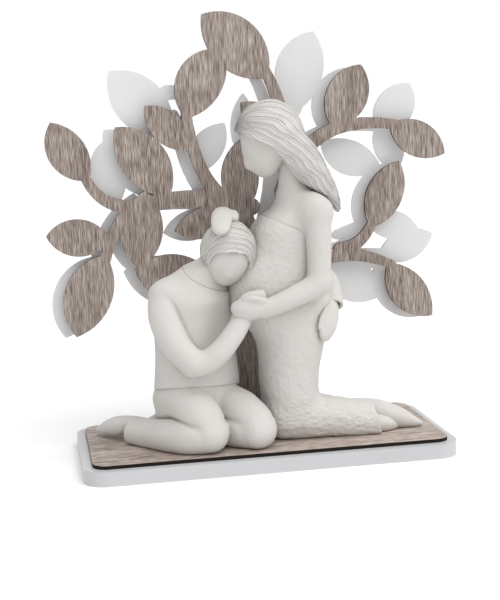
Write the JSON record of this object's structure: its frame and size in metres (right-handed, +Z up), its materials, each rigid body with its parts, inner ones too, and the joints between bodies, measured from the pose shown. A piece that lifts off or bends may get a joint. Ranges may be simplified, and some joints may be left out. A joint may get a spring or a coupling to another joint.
{
  "type": "tree of life figure sculpture",
  "caption": "Free-standing sculpture of an expecting couple kneeling in white clay before a flat-cut tree of life on a two-layer base.",
  "frame": {"origin": "centre of the base board's underside, on the surface the sculpture stands on", "axes": "+X to the right seen from the front, +Y to the rear through the tree panels, +Z up"},
  "size_m": [0.354, 0.153, 0.3732],
  "materials": {
    "white_board": "white satin lacquer on fibreboard, edges softly rounded",
    "wood_grain_laminate": "grey-brown wood-grain face on 3 mm board, dark laser-burnt edges",
    "white_panel": "matte white painted 3 mm board",
    "zinc_screws": "plain zinc-plated",
    "stippled_clay": "unglazed warm white clay, stippled all over",
    "combed_clay": "unglazed warm white clay, combed into strands",
    "smooth_clay": "unglazed warm white clay, hand-smoothed matte"
  },
  "bodies": {
    "root": {"base_board": "white_board", "base_wood_plate": "wood_grain_laminate", "tree_front_panel": "wood_grain_laminate", "tree_back_panel": "white_panel", "panel_spacers": "white_panel", "trunk_foot_block": "white_panel", "foot_block_screws": "zinc_screws", "mother_dress": "stippled_clay", "mother_bust": "smooth_clay", "mother_head": "smooth_clay", "mother_hair": "combed_clay", "mother_left_arm": "smooth_clay", "mother_left_hand": "smooth_clay", "mother_right_arm": "smooth_clay", "mother_right_hand": "smooth_clay", "mother_left_foot": "smooth_clay", "mother_right_foot": "smooth_clay", "partner_shirt": "smooth_clay", "partner_hips": "smooth_clay", "partner_neck": "smooth_clay", "partner_head": "smooth_clay", "partner_hair": "combed_clay", "partner_right_arm": "smooth_clay", "partner_right_hand": "smooth_clay", "partner_left_arm": "smooth_clay", "partner_left_hand": "smooth_clay", "partner_right_leg": "smooth_clay", "partner_left_leg": "smooth_clay", "partner_right_foot": "smooth_clay", "partner_left_foot": "smooth_clay"}
  },
  "joints": []
}
